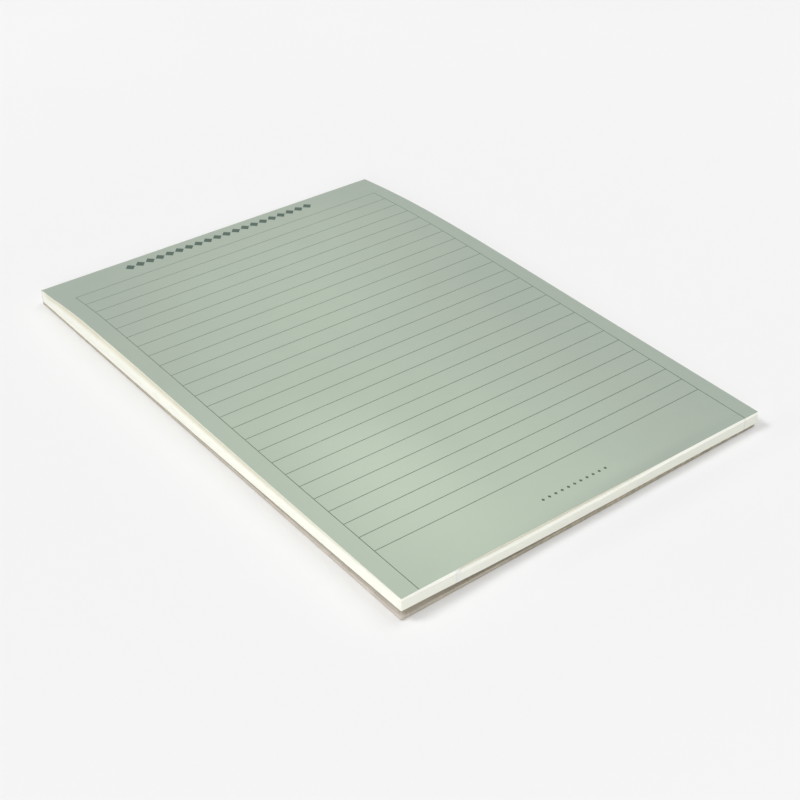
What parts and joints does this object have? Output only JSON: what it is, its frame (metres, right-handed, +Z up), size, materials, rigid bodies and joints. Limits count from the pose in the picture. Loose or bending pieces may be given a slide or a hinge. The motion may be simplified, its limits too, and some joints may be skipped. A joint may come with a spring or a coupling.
{
  "type": "ruled writing pad",
  "caption": "Ruled writing pad: a block of sheets glued along the head to a stiff card back, its foot loose and one corner sprung up.",
  "frame": {"origin": "bottom centre of the whole pad, on the underside of the card back", "axes": "+X right along the loose foot, +Y from the foot to the glued head, +Z up off the table"},
  "size_m": [0.148, 0.2104, 0.0089],
  "materials": {
    "chipboard": "matte",
    "white_paper": "matte",
    "printed_sheet": "matte",
    "padding_glue": "satin"
  },
  "bodies": {
    "root": {"backing_board": "chipboard", "paper_block": "white_paper", "glue_strip": "padding_glue"}
  },
  "joints": []
}
